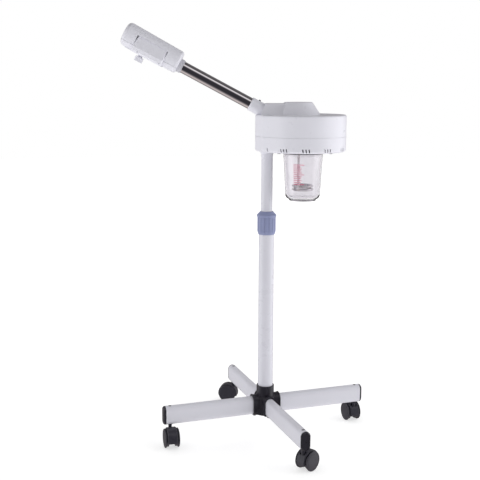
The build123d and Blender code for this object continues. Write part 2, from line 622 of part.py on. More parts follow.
def make_jar_ring():
    """Ring that carries the jar by its flange and closes on the head."""
    ring = turned([(52.0, RING_BOTTOM_Z), (RING_R - 0.8, RING_BOTTOM_Z),
                   (RING_R, RING_BOTTOM_Z + 0.8), (RING_R, RING_TOP_Z), (54.2, RING_TOP_Z),
                   (54.2, JAR_FLANGE_Z - 0.1), (52.0, JAR_FLANGE_Z - 0.1)])
    return Pos(DRUM_X, 0, 0) * ring


def make_jar():
    """Clear water jar, tapered to a rounded base with a foot ring."""
    low = JAR_BOTTOM_Z
    outer_corner = ThreePointArc((JAR_LOW_R, low + 15), (JAR_LOW_R - 3.1, low + 7.3), (35.5, low + 3.5))
    inner_corner = ThreePointArc((32.0, low + 7.5), (39.2, low + 10.3), (JAR_LOW_R - JAR_WALL, low + 17))
    outside = Polyline((35.5, low + 3.5), (34.5, low), (31.0, low), (30.0, low + 3.5), (2.5, low + 3.5),
                       (1.8, low + 1.8), (0, low + 1.8))
    inside = Polyline((0, low + 1.8), (0, low + 7.5), (32.0, low + 7.5))
    wall = Polyline((JAR_LOW_R - JAR_WALL, low + 17), (JAR_TOP_R - JAR_WALL, JAR_WALL_TOP_Z),
                    (JAR_TOP_R - JAR_WALL, JAR_RIM_Z), (JAR_FLANGE_R, JAR_RIM_Z),
                    (JAR_FLANGE_R, JAR_FLANGE_Z), (JAR_TOP_R, JAR_FLANGE_Z), (JAR_TOP_R, JAR_WALL_TOP_Z),
                    (JAR_LOW_R, low + 15))
    face = make_face(outer_corner + outside + inside + inner_corner + wall)
    return Pos(DRUM_X, 0, 0) * revolve(Plane.XZ * face, Axis.Z)


def make_steam_chamber():
    """Dome above the heater plate with a spigot in line with the arm."""
    base = HEAD_BOTTOM_Z + SHELL + 2.0
    spigot = ARM_PLANE.location * along_x(HOSE_R, -152, HOSE_START - 0.5)
    barb = ARM_PLANE.location * along_x(SPIGOT_R, HOSE_START - 2.5, HOSE_START + 7.5)
    bore = ARM_PLANE.location * along_x(STEAM_BORE_R, -146, 0)
    dome = upright(CHAMBER_R, base, base + 51.5, DRUM_X)
    chamber = dome + spigot + barb
    chamber -= upright(CHAMBER_R - 3, base - 1, base + 35.5, DRUM_X)
    return chamber - bore


def make_steam_pipe():
    """Silicone hose from the steam chamber to the elbow."""
    end = -ELBOW_DEPTH - 0.2
    hose = along_x(HOSE_R, HOSE_START, end) - along_x(SPIGOT_R + FIT, HOSE_START - 5, end + 5)
    return ARM_PLANE.location * hose


def make_control_board():
    """Circuit board on four posts, with its relay and capacitor."""
    foot = HEAD_BOTTOM_Z + SHELL + 2.5
    base = foot + 2.5
    low = base + 9.5
    top = low + 1.6
    board = block(128, 182, -34, 34, low, top)
    relay = block(136, 156, -26, -10, top, top + 15.4)
    capacitor = upright(7.0, top, top + 18.4, 168, 18)
    assembly = board + relay + capacitor + block(130, 180, -32, 32, foot, base)
    for x in (133, 177):
        for y in (-29, 29):
            assembly += upright(2.5, base, low, x, y)
    return assembly


def make_uv_lamp():
    """Small ultraviolet lamp that makes the ozone, standing in its own holder."""
    x = DRUM_X
    y = -38.0
    low = HEAD_BOTTOM_Z + SHELL + 2.0
    holder = upright(8.0, low, low + 12, x, y)
    bulb = upright(5.5, low + 12, low + 40, x, y)
    bulb = fillet(bulb.edges().group_by(Axis.Z)[-1], 5.0)
    return holder + bulb


def make_switch_panel():
    """Flat panel in the rear of the drum with two switch openings."""
    z = SWITCH_Z
    panel = block(DRUM_X - PANEL_HALF_WIDTH, DRUM_X + PANEL_HALF_WIDTH, PANEL_FACE_Y - 3.2, PANEL_FACE_Y,
                  z - PANEL_HALF_HEIGHT, z + PANEL_HALF_HEIGHT)
    for side in (-1, 1):
        x = DRUM_X + side * SWITCH_X_OFFSET
        panel -= block(x - 6.7, x + 6.7, 90, 120, z - 9.8, z + 9.8)
    return panel


def make_switch_frames():
    """Frames of the two rocker switches."""
    frames = []
    z = SWITCH_Z
    for side in (-1, 1):
        x = DRUM_X + side * SWITCH_X_OFFSET
        bezel = block(x - 7.8, x + 7.8, PANEL_FACE_Y, PANEL_FACE_Y + 1.2, z - 11, z + 11)
        body = block(x - 6.6, x + 6.6, 86, PANEL_FACE_Y, z - 9.7, z + 9.7)
        well = block(x - 5.2, x + 5.2, 98, 120, z - 8.6, z + 8.6)
        frames.append(bezel + body - well)
    return frames


def make_rocker(side):
    """Rocker key, lying in its off position, pivoted on an axis along X."""
    x = DRUM_X + side * SWITCH_X_OFFSET
    face = Plane.YZ.offset(x - 4.9) * make_face(
        Polyline((102.0, -3.0), (102.0, 3.0), (107.0, 7.6), (109.4, 7.6))
        + ThreePointArc((109.4, 7.6), (107.7, 0), (109.4, -7.6))
        + Polyline((109.4, -7.6), (107.0, -7.6), (102.0, -3.0))
    )
    key = extrude(face, amount=9.8)
    tilt = Pos(x, 104.0, SWITCH_Z) * Rot(9, 0, 0) * Pos(-x, -104.0, 0)
    return tilt * key


def make_cord_gland():
    """Grommet in the rear wall for the mains lead."""
    gland = along_y(GLAND_R, 104.5, 111.5, DRUM_X, GLAND_Z)
    gland += along_y(GLAND_R + 2, 110.4, 113.4, DRUM_X, GLAND_Z)
    gland += along_y(GLAND_R + 1.5, 103.0, 105.2, DRUM_X, GLAND_Z)
    return gland - along_y(GLAND_BORE_R, 90, 130, DRUM_X, GLAND_Z)


# ---------------------------------------------------------------- arm and nozzle parts
def make_arm_tube():
    """Chrome steam tube."""
    tube = along_x(ARM_R, ARM_INNER_END, ARM_OUTER_END)
    return ARM_PLANE.location * (tube - along_x(ARM_R - ARM_WALL, -200, 400))


def barrel(inset):
    """The nozzle's barrel in the arm's frame: a round body that widens outward."""
    start_r = NOZZLE_START_R - inset
    end_r = NOZZLE_END_R - inset
    start_centre = NOZZLE_START_BOTTOM + NOZZLE_START_R
    end_centre = NOZZLE_END_BOTTOM + NOZZLE_END_R
    start = Plane.YZ.offset(NOZZLE_START + inset) * Pos(0, start_centre) * Circle(start_r)
    end = Plane.YZ.offset(NOZZLE_END - inset) * Pos(0, end_centre) * Circle(end_r)
    body = loft([start.face(), end.face()])
    body = fillet(body.edges().filter_by(GeomType.CIRCLE).group_by(Axis.X)[0], 7.0 - inset)
    return fillet(body.edges().filter_by(GeomType.CIRCLE).group_by(Axis.X)[-1], 11.0 - inset)


def saddle_pocket(gap):
    """The space that the saddle's side pads take out of the barrel."""
    cut = block(SADDLE_START - gap, SADDLE_END + gap, -60, 60, -60, SADDLE_TOP + gap)
    flat = SADDLE_FLAT + FIT - gap
    return cut - block(0, 500, -flat, flat, -100, 100)


def make_nozzle_shell(upper):
    """One half of the nozzle barrel, above or below the seam."""
    shell = barrel(0) - barrel(SHELL)
    shell -= along_x(NECK_R + FIT, NOZZLE_START - 5, NOZZLE_START + 10)
    shell -= saddle_pocket(0.15)
    half_groove = 0.25
    if upper:
        shell -= block(100, 500, -60, 60, -60, NOZZLE_SPLIT + half_groove)
    else:
        shell += block(330, 347, -7, 7, NOZZLE_END_BOTTOM - 1.4, NOZZLE_END_BOTTOM + 1.4)
        shell -= block(100, 500, -60, 60, NOZZLE_SPLIT - half_groove, 60)
        shell -= upright(SPOUT_STEM_R + FIT, -40, 0, SPOUT_S)
    return ARM_PLANE.location * shell


def make_nozzle_saddle():
    """Saddle round the barrel's underside: two side pads joined below."""
    right = [(SADDLE_FLAT + 0.7, SADDLE_TOP), (33.5, -11.0), (29.8, -20.0), (21.0, -25.2)]
    left = [(-y, z) for y, z in reversed(right)]
    section = Plane.YZ.offset(SADDLE_START) * make_face(Polyline(*right, *left, close=True))
    saddle = extrude(section, amount=SADDLE_END - SADDLE_START)
    ends = saddle.edges().filter_by(lambda e: abs(e.center().Y) > 29 and abs(e.tangent_at(0.5).X) < 0.1)
    saddle = chamfer(ends, 3.2)
    core = barrel(0) & block(0, 500, -SADDLE_FLAT, SADDLE_FLAT, -60, 60)
    saddle -= core
    saddle -= block(0, 500, -SADDLE_FLAT + 0.1, SADDLE_FLAT - 0.1, -10, 40)
    for station in (SADDLE_START + 7, SADDLE_END - 17):
        for side in (-1, 1):
            saddle -= block(station - 1.1, station + 1.1, side * 30 - 4, side * 30 + 4, -22, -18.2)
    saddle -= upright(SPOUT_STEM_R + FIT, -40, 0, SPOUT_S)
    return ARM_PLANE.location * saddle


def make_nozzle_neck():
    """Stepped sleeve that joins the nozzle to the arm and turns on it."""
    neck = along_x(NECK_COLLAR_R, NECK_START, NECK_START + 4)
    neck += along_x(NECK_R, NECK_START + 3, NOZZLE_START + 24)
    neck -= along_x(ARM_R + FIT, 0, ARM_OUTER_END + 0.5)
    neck -= along_x(ARM_R - 3, 0, 300)
    return ARM_PLANE.location * neck


def make_spout():
    """Swivelling outlet under the nozzle with a slotted mouth."""
    bottom = SPOUT_HEAD_TOP - SPOUT_HEAD_HEIGHT
    inner = NOZZLE_END_BOTTOM + 6.8
    head = Pos(SPOUT_S, 0, SPOUT_HEAD_TOP - SPOUT_HEAD_HEIGHT / 2) * Box(20.4, 25.0, SPOUT_HEAD_HEIGHT)
    head = fillet(head.edges().filter_by(Axis.Z), 6.0)
    spout = head + upright(SPOUT_STEM_R, SPOUT_HEAD_TOP - 1, inner, SPOUT_S)
    spout += upright(SPOUT_STEM_R + 2, inner - 2, inner, SPOUT_S)
    spout -= upright(4.4, bottom - 5, inner + 5, SPOUT_S)
    spout -= block(SPOUT_S - 4.4, SPOUT_S + 4.4, -9.5, 9.5, bottom - 5, bottom + 7.5)
    return ARM_PLANE.location * spout


# ---------------------------------------------------------------- write the parts
parts = {
    "hub": make_hub(),
    "leg_caps": make_leg_caps(),
    "castor_sockets": make_castor_sockets(),
    "castor_stems": make_castor_stems(),
    "leg_screws": make_leg_screws(),
    "hub_bolt": make_hub_bolt(),
    "pole_lower": make_pole_lower(),
    "pole_collet": make_pole_collet(),
    "lock_collar": make_lock_collar(),
    "pole_upper": make_pole_upper(),
    "guide_bush": make_guide_bush(),
    "housing_lower": make_housing_lower(),
    "housing_upper": make_housing_upper(),
    "housing_screws": make_housing_screws(),
    "dome_cap": make_dome_cap(),
    "elbow": make_elbow(),
    "elbow_screw": make_elbow_screw(),
    "pole_boss": make_pole_boss(),
    "head_socket": make_head_socket(),
    "heater_plate": make_heater_plate(),
    "heater_coil": make_heater_coil(),
    "jar_gasket": make_jar_gasket(),
    "jar_ring": make_jar_ring(),
    "jar": make_jar(),
    "steam_chamber": make_steam_chamber(),
    "steam_pipe": make_steam_pipe(),
    "control_board": make_control_board(),
    "uv_lamp": make_uv_lamp(),
    "switch_panel": make_switch_panel(),
    "switch_frames": make_switch_frames(),
    "power_rocker": make_rocker(-1),
    "ozone_rocker": make_rocker(1),
    "cord_gland": make_cord_gland(),
    "arm_tube": make_arm_tube(),
    "nozzle_neck": make_nozzle_neck(),
    "nozzle_upper": make_nozzle_shell(True),
    "nozzle_lower": make_nozzle_shell(False),
    "nozzle_saddle": make_nozzle_saddle(),
    "spout": make_spout(),
}
for number in range(LEG_COUNT):
    place = castor_place(number)
    label = str(number + 1)
    parts["leg_" + label] = make_leg(number)
    parts["castor_hood_" + label] = place * make_castor_hood()
    parts["castor_axle_" + label] = place * make_castor_axle()
    parts["wheel_" + label + "a"] = place * make_wheel(1)
    parts["wheel_" + label + "b"] = place * make_wheel(-1)

os.makedirs("parts", exist_ok=True)
for name, shape in parts.items():
    if isinstance(shape, list):
        shape = Compound(children=shape)
    export_step(shape, f"parts/{name}.step")
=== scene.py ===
"""Looks of the facial steamer: finishes, small detail pieces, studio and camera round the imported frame."""

import json
import math

import bmesh
import bpy
from mathutils import Matrix, Vector


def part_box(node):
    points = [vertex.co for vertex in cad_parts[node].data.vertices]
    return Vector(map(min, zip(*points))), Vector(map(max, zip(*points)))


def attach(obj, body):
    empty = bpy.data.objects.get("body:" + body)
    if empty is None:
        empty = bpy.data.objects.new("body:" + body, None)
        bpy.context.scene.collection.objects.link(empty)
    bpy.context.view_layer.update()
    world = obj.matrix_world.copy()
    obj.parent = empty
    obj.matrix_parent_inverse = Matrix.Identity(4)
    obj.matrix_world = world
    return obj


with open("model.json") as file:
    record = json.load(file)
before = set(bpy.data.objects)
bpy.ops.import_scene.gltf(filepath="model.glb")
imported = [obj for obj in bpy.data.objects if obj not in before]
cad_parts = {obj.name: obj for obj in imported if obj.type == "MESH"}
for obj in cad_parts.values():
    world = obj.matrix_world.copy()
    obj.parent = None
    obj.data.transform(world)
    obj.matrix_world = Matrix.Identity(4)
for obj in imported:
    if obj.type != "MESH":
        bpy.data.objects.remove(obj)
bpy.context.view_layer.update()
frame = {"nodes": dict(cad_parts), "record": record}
MM = 0.001

# The jar's wall and the level marks on it: heights are above the jar's foot.
JAR_WALL_TOP_R = 51.0 * MM
JAR_WALL_LOW_R = 45.0 * MM
JAR_WALL_TOP = 114.0 * MM
JAR_WALL_LOW = 15.0 * MM
LEVEL_COUNT = 11
LEVEL_FIRST = 44.5 * MM
LEVEL_PITCH = 5.0 * MM
LEVEL_WIDTH = 1.8 * MM
LEVEL_LEFT = -33.0  # degrees from the jar's front

# The rockers: pivots in the frame, faces measured from their pivots.
ROCKER_PIVOT_Y = 104.0 * MM
ROCKER_PIVOT_Z = 832.0 * MM
ROCKER_TILT = 9.0
ROCKER_FACE_Y = 3.7 * MM
ROCKER_HOLLOW = 1.7 * MM
ROCKER_HALF = 7.6 * MM
MARK_LIFT = 0.15 * MM
MARK_BAR_LOW = 3.4  # the marks' outlines are in millimetres
MARK_BAR_STEP = 0.4
MARK_BAR_POINTS = 9
MARK_RING_R = 1.5
MARK_RING_DROP = 4.6
MARK_RING_POINTS = 24
MARK_BAR_WIDTH = 0.7 * MM
MARK_RING_WIDTH = 0.6 * MM

FLOOR_REACH = 9.0
FLOOR_SIDES = 64
TENT_R = 4.0
TENT_HALF_LENGTH = 6.0
TENT_SIDES = 96
TENT_MIDDLE_Z = 0.95

CAMERA_PLACE = (-0.0694, -2.368, 0.947)
CAMERA_DOWN = 9.94
CAMERA_ROLL = 0.18
CAMERA_LENS = 68.6


# ---------------------------------------------------------------- node helpers
class Finish:
    """A new material: its shader, and short ways to add and join nodes."""

    def __init__(self, name, **sockets):
        self.material = bpy.data.materials.new(name)
        self.material.use_nodes = True
        self.tree = self.material.node_tree
        self.shader = self.tree.nodes["Principled BSDF"]
        for socket, value in sockets.items():
            self.shader.inputs[socket.replace("_", " ")].default_value = value
        self.coords = self.node("ShaderNodeTexCoord")

    def node(self, kind, **settings):
        made = self.tree.nodes.new(kind)
        for key, value in settings.items():
            setattr(made, key, value)
        return made

    def join(self, output, socket):
        self.tree.links.new(output, socket)

    def noise(self, grain, detail=3.0, stretch=(1, 1, 1), rough=0.55):
        """Noise whose features are about grain metres across, stretched along the object's axes."""
        scale = self.node("ShaderNodeMapping")
        scale.inputs["Scale"].default_value = stretch
        self.join(self.coords.outputs["Object"], scale.inputs["Vector"])
        made = self.node("ShaderNodeTexNoise")
        made.inputs["Scale"].default_value = 1.0 / grain
        made.inputs["Detail"].default_value = detail
        made.inputs["Roughness"].default_value = rough
        self.join(scale.outputs["Vector"], made.inputs["Vector"])
        return made.outputs["Fac"]

    def ranged(self, value, to_low, to_high, from_low=0.3, from_high=0.7):
        """A value stretched from one range to another."""
        made = self.node("ShaderNodeMapRange")
        self.join(value, made.inputs["Value"])
        made.inputs["From Min"].default_value = from_low
        made.inputs["From Max"].default_value = from_high
        made.inputs["To Min"].default_value = to_low
        made.inputs["To Max"].default_value = to_high
        return made.outputs["Result"]

    def mixed(self, factor, first, second):
        """A colour between two; each is a colour or another node's output."""
        made = self.node("ShaderNodeMix", data_type="RGBA")
        self.join(factor, made.inputs["Factor"])
        for side, colour in (("A", first), ("B", second)):
            socket = [s for s in made.inputs if s.name == side and s.type == "RGBA"][0]
            if isinstance(colour, tuple):
                socket.default_value = (*colour, 1.0)
            else:
                self.join(colour, socket)
        return [s for s in made.outputs if s.type == "RGBA"][0]

    def math(self, operation, first, second):
        """A sum, product or power of two values; each is a number or a node's output."""
        made = self.node("ShaderNodeMath", operation=operation)
        for socket, value in zip(made.inputs, (first, second)):
            if isinstance(value, (int, float)):
                socket.default_value = value
            else:
                self.join(value, socket)
        return made.outputs["Value"]

    def edges(self, radius):
        """A mask that is 1 on outer and inner edges and 0 on flat faces, and the rounded normal."""
        bevel = self.node("ShaderNodeBevel", samples=6)
        bevel.inputs["Radius"].default_value = radius
        plain = self.node("ShaderNodeNewGeometry")
        dot = self.node("ShaderNodeVectorMath", operation="DOT_PRODUCT")
        self.join(bevel.outputs["Normal"], dot.inputs[0])
        self.join(plain.outputs["Normal"], dot.inputs[1])
        return self.ranged(dot.outputs["Value"], 1.0, 0.0, 0.75, 0.98), bevel.outputs["Normal"]

    def upward(self):
        """How far a face looks up, from 0 to 1."""
        plain = self.node("ShaderNodeNewGeometry")
        parts = self.node("ShaderNodeSeparateXYZ")
        self.join(plain.outputs["Normal"], parts.inputs["Vector"])
        return self.ranged(parts.outputs["Z"], 0.0, 1.0, 0.35, 1.0)

    def bump(self, height, depth, strength=1.0, normal=None):
        """Raises the surface by height, depth metres at most."""
        made = self.node("ShaderNodeBump")
        made.inputs["Strength"].default_value = strength
        made.inputs["Distance"].default_value = depth
        self.join(height, made.inputs["Height"])
        if normal is not None:
            self.join(normal, made.inputs["Normal"])
        self.join(made.outputs["Normal"], self.shader.inputs["Normal"])

    def colour(self, output):
        self.join(output, self.shader.inputs["Base Color"])

    def roughness(self, output):
        self.join(output, self.shader.inputs["Roughness"])


def shade(colour, factor):
    """A colour made darker or lighter."""
    return tuple(min(1.0, c * factor) for c in colour)


# ---------------------------------------------------------------- finishes
def moulded(name, colour, rough, grain, depth, wear, dust=0.0, drift=0.05):
    """Moulded plastic: slight colour drift, fine grain, rubbed edges and a trace of dust on top."""
    made = Finish(name, IOR=1.49)
    cloud = made.noise(0.06, 4.0)
    fine = made.noise(grain, 2.0)
    edge, rounded = made.edges(0.5 * MM)
    base = made.mixed(made.ranged(cloud, 0.0, 1.0), shade(colour, 1 - drift), shade(colour, 1 + drift))
    rubbed = made.math("MULTIPLY", edge, made.ranged(made.noise(0.004, 3.0), 0.2, 1.0))
    base = made.mixed(made.math("MULTIPLY", rubbed, abs(wear)), base, shade(colour, 1 + 3 * wear))
    if dust:
        settled = made.math("MULTIPLY", made.upward(), made.ranged(made.noise(0.012, 5.0), 0.2, 1.0))
        base = made.mixed(made.math("MULTIPLY", settled, dust), base, (0.45, 0.44, 0.45))
    made.colour(base)
    sheen = made.ranged(made.noise(0.018, 5.0), rough - 0.035, rough + 0.045)
    made.roughness(made.math("SUBTRACT", sheen, made.math("MULTIPLY", rubbed, 0.08)))
    made.bump(fine, depth, 0.35, rounded)
    return made.material


def painted(name, colour, rough, wear):
    """Powder coat on steel tube: orange peel, faint drift of tone, thin film on the edges."""
    made = Finish(name, IOR=1.5, Coat_Weight=0.25, Coat_Roughness=0.12)
    cloud = made.noise(0.09, 4.0)
    edge, rounded = made.edges(0.4 * MM)
    base = made.mixed(made.ranged(cloud, 0.0, 1.0), shade(colour, 0.985), shade(colour, 1.012))
    chips = made.ranged(made.noise(0.003, 4.0), 0.0, 1.0, 0.55, 0.68)
    worn = made.math("MULTIPLY", made.math("MULTIPLY", edge, chips), wear)
    made.colour(made.mixed(worn, base, (0.36, 0.35, 0.37)))
    made.roughness(made.ranged(made.noise(0.03, 4.0), rough - 0.02, rough + 0.03))
    peel = made.math("ADD", made.noise(0.0022, 2.0), made.math("MULTIPLY", made.noise(0.0006, 1.0), 0.3))
    made.bump(peel, 0.006 * MM, 0.35, rounded)
    return made.material


def metal(name, colour, rough, stretch=(1, 1, 1), streak=0.002, depth=0.01, stain=None):
    """Bare metal: drawn or turned streaks, smudges, and heat tint where it is given."""
    made = Finish(name, Metallic=1.0)
    _, rounded = made.edges(0.3 * MM)
    cloud = made.noise(0.03, 5.0)
    base = made.mixed(made.ranged(cloud, 0.0, 1.0), shade(colour, 0.9), shade(colour, 1.06))
    if stain is not None:
        base = made.mixed(made.ranged(made.noise(0.011, 4.0), 0.0, 0.7, 0.45, 0.7), base, stain)
    made.colour(base)
    lines = made.noise(streak, 3.0, stretch)
    smudge = made.ranged(cloud, rough * 0.8, rough * 1.35)
    made.roughness(made.math("ADD", smudge, made.ranged(lines, -0.02, 0.03)))
    made.bump(lines, depth * MM, 0.4, rounded)
    return made.material


def chrome():
    """Polished chrome plate with faint polishing lines and fingermarks."""
    made = Finish("chrome", Metallic=1.0)
    cloud = made.noise(0.02, 5.0)
    made.colour(made.mixed(made.ranged(cloud, 0.0, 1.0), (0.82, 0.80, 0.81), (0.88, 0.86, 0.87)))
    marks = made.ranged(made.noise(0.012, 6.0, rough=0.7), 0.0, 1.0, 0.5, 0.72)
    made.roughness(made.math("ADD", made.math("MULTIPLY", marks, 0.05), 0.07))
    made.bump(made.noise(0.0015, 2.0), 0.004 * MM, 0.3)
    return made.material


def clear_jar():
    """Clear moulded jar: a trace of tint, soft flow lines and a little lime haze in patches."""
    made = Finish("jar_glass", IOR=1.46, Transmission_Weight=1.0)
    cloud = made.noise(0.03, 3.0, (1, 1, 0.35))
    made.colour(made.mixed(made.ranged(cloud, 0.0, 1.0), (0.76, 0.745, 0.775), (0.82, 0.805, 0.83)))
    haze = made.ranged(made.noise(0.006, 5.0), 0.0, 0.05, 0.5, 0.75)
    made.roughness(made.math("ADD", haze, 0.015))
    made.bump(made.noise(0.02, 2.0, (1, 1, 0.3)), 0.12 * MM, 0.5)
    return made.material


def lamp_glass():
    """Frosted quartz of the lamp."""
    made = Finish("lamp_glass", IOR=1.46, Transmission_Weight=0.85)
    cloud = made.noise(0.004, 3.0)
    made.colour(made.mixed(made.ranged(cloud, 0.0, 1.0), (0.72, 0.76, 0.9), (0.84, 0.87, 0.97)))
    made.roughness(made.ranged(made.noise(0.002, 3.0), 0.08, 0.3))
    made.bump(cloud, 0.02 * MM, 0.3)
    return made.material


def circuit_board():
    """Green solder mask with copper tracks showing through."""
    made = Finish("board", IOR=1.5, Coat_Weight=0.4, Coat_Roughness=0.1)
    cells = made.node("ShaderNodeTexVoronoi", distance="MANHATTAN")
    cells.inputs["Scale"].default_value = 220.0
    made.join(made.coords.outputs["Object"], cells.inputs["Vector"])
    tracks = made.ranged(cells.outputs["Distance"], 0.0, 1.0, 0.2, 0.35)
    made.colour(made.mixed(tracks, (0.10, 0.32, 0.12), (0.03, 0.16, 0.06)))
    made.roughness(made.ranged(made.noise(0.004, 3.0), 0.3, 0.5))
    made.bump(tracks, 0.04 * MM, 0.6)
    return made.material


def printed(name, colour):
    """Screen-printed ink, thin in places."""
    made = Finish(name, IOR=1.5)
    thin = made.ranged(made.noise(0.0012, 4.0), 0.0, 1.0, 0.35, 0.7)
    made.colour(made.mixed(thin, shade(colour, 0.92), shade(colour, 1.25)))
    made.roughness(made.ranged(made.noise(0.002, 3.0), 0.4, 0.6))
    made.bump(thin, 0.02 * MM, 0.5)
    return made.material


def make_finishes():
    """One material for each of the record's slots."""
    return {
        "black_plastic": moulded("black_plastic", (0.023, 0.021, 0.030), 0.30, 0.0008, 0.02 * MM, 0.5, 0.02),
        "castor_plastic": moulded(
            "castor_plastic", (0.034, 0.032, 0.044), 0.34, 0.0009, 0.03 * MM, 0.6, 0.03),
        "collar_plastic": moulded("collar_plastic", (0.28, 0.31, 0.50), 0.34, 0.0008, 0.02 * MM, 0.12),
        "bush_plastic": moulded("bush_plastic", (0.70, 0.70, 0.68), 0.45, 0.0008, 0.03 * MM, 0.05),
        "white_plastic": moulded(
            "white_plastic", (0.82, 0.815, 0.885), 0.30, 0.0007, 0.006 * MM, 0.01, 0.0, 0.006),
        "neck_plastic": moulded(
            "neck_plastic", (0.60, 0.595, 0.65), 0.34, 0.0008, 0.02 * MM, 0.05, 0.0, 0.02),
        "switch_black": moulded("switch_black", (0.016, 0.016, 0.017), 0.25, 0.0006, 0.01 * MM, 0.4),
        "switch_red": moulded("switch_red", (0.52, 0.03, 0.03), 0.22, 0.0006, 0.01 * MM, 0.15),
        "rubber": moulded("rubber", (0.018, 0.018, 0.02), 0.62, 0.0006, 0.05 * MM, 0.5, 0.06),
        "silicone": moulded("silicone", (0.72, 0.70, 0.66), 0.5, 0.0006, 0.03 * MM, 0.05),
        "leg_paint": painted("leg_paint", (0.72, 0.715, 0.78), 0.34, 0.25),
        "tube_paint": painted("tube_paint", (0.735, 0.73, 0.80), 0.28, 0.2),
        "steel": metal("steel", (0.52, 0.52, 0.54), 0.28, (1, 1, 8)),
        "heater_sheath": metal(
            "heater_sheath", (0.70, 0.68, 0.70), 0.13, (6, 6, 1), stain=(0.45, 0.38, 0.34)),
        "aluminium": metal("aluminium", (0.70, 0.70, 0.72), 0.34, (3, 3, 3)),
        "chrome": chrome(),
        "jar_glass": clear_jar(),
        "lamp_glass": lamp_glass(),
        "board": circuit_board(),
    }


def dress_frame(finishes):
    """Gives every CAD node the finish of its own slot."""
    for part in frame["record"]["subparts"]:
        node = frame["nodes"][part["node"]]
        node.data.materials.clear()
        node.data.materials.append(finishes[part["material_slot"]])


# ---------------------------------------------------------------- detail pieces
def new_piece(name, mesh_maker, material, body):
    """A piece built with bmesh, riding on a body."""
    mesh = bpy.data.meshes.new(name)
    build = bmesh.new()
    mesh_maker(build)
    bmesh.ops.recalc_face_normals(build, faces=build.faces)
    build.to_mesh(mesh)
    build.free()
    piece = bpy.data.objects.new(name, mesh)
    bpy.context.scene.collection.objects.link(piece)
    mesh.materials.append(material)
    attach(piece, body)
    return piece


def curved_bar(build, centre, radius_at, z_from, z_to, turn_from, turn_to, thick):
    """A thin bar wrapped on a tapered round wall, closed all round."""
    steps = max(2, int(math.degrees(abs(turn_to - turn_from)) / 2))
    rings = []
    for step in range(steps + 1):
        turn = turn_from + (turn_to - turn_from) * step / steps
        out = Vector((math.sin(turn), -math.cos(turn), 0))
        ring = []
        for z, lift in ((z_from, 0), (z_to, 0), (z_to, thick), (z_from, thick)):
            at = Vector((centre.x, centre.y, 0)) + out * (radius_at(z) + lift)
            ring.append(build.verts.new((at.x, at.y, z)))
        rings.append(ring)
    for near, far in zip(rings, rings[1:]):
        for side in range(4):
            build.faces.new((near[side], near[side - 1], far[side - 1], far[side]))
    build.faces.new(rings[0])
    build.faces.new(rings[-1][::-1])


def make_level_marks():
    """Plain level lines printed on the front of the jar."""
    low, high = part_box("jar")
    centre = (low + high) / 2
    top_z, bottom_z = low.z + JAR_WALL_TOP, low.z + JAR_WALL_LOW
    lift = 0.05 * MM

    def radius_at(z):
        share = (z - bottom_z) / (top_z - bottom_z)
        return JAR_WALL_LOW_R + (JAR_WALL_TOP_R - JAR_WALL_LOW_R) * share + lift

    def build_marks(build):
        first_z = low.z + LEVEL_FIRST
        for index in range(LEVEL_COUNT):
            z = first_z + index * LEVEL_PITCH
            long_mark = index % 5 == 0
            left = math.radians(LEVEL_LEFT)
            right = math.radians(0 if long_mark else -7 - 3 * (index % 2))
            curved_bar(build, centre, radius_at, z, z + LEVEL_WIDTH, left, right, 0.12 * MM)

    new_piece("level_marks", build_marks, printed("level_ink", (0.70, 0.20, 0.30)), "jar")


def rocker_mark(build, centre_x, pivot, outline, width, closed):
    """A thin raised line along an outline of (sideways, up) points on a rocker's hollow face."""
    tilt = Matrix.Translation(pivot) @ Matrix.Rotation(math.radians(ROCKER_TILT), 4, "X")
    count = len(outline)
    rings = []
    for index, (side, up) in enumerate(outline):
        after = outline[(index + 1) % count] if closed or index + 1 < count else outline[index]
        before = outline[index - 1] if closed or index > 0 else outline[index]
        along = Vector((after[0] - before[0], after[1] - before[1])).normalized()
        across = Vector((-along.y, along.x)) * width / 2
        ring = []
        for sign, lift in ((-1, 0.0), (1, 0.0), (1, MARK_LIFT), (-1, MARK_LIFT)):
            x, z = side + sign * across.x, up + sign * across.y
            face = ROCKER_FACE_Y + ROCKER_HOLLOW * (z / ROCKER_HALF) ** 2
            ring.append(build.verts.new(tilt @ Vector((centre_x - pivot.x + x, face + lift, z))))
        rings.append(ring)
    pairs = list(zip(rings, rings[1:] + rings[:1])) if closed else list(zip(rings, rings[1:]))
    for near, far in pairs:
        for side in range(4):
            build.faces.new((near[side], near[side - 1], far[side - 1], far[side]))
    if not closed:
        build.faces.new(rings[0])
        build.faces.new(rings[-1][::-1])


def make_rocker_marks():
    """A bar and a ring, for on and off, on each rocker."""
    ink = printed("mark_ink", (0.80, 0.80, 0.80))
    bar = [(0.0, (MARK_BAR_LOW + MARK_BAR_STEP * step) * MM) for step in range(MARK_BAR_POINTS)]
    turns = [math.tau * step / MARK_RING_POINTS for step in range(MARK_RING_POINTS)]
    ring = [(MARK_RING_R * MM * math.cos(turn), (MARK_RING_R * math.sin(turn) - MARK_RING_DROP) * MM)
            for turn in turns]
    for node in ("power_rocker", "ozone_rocker"):
        low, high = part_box(node)
        centre_x = (low.x + high.x) / 2
        pivot = Vector((centre_x, ROCKER_PIVOT_Y, ROCKER_PIVOT_Z))

        def build_marks(build):
            rocker_mark(build, centre_x, pivot, bar, MARK_BAR_WIDTH, False)
            rocker_mark(build, centre_x, pivot, ring, MARK_RING_WIDTH, True)

        new_piece(node + "_marks", build_marks, ink, node)


def add_details():
    """The small pieces that the CAD model doesn't hold."""
    make_level_marks()
    make_rocker_marks()


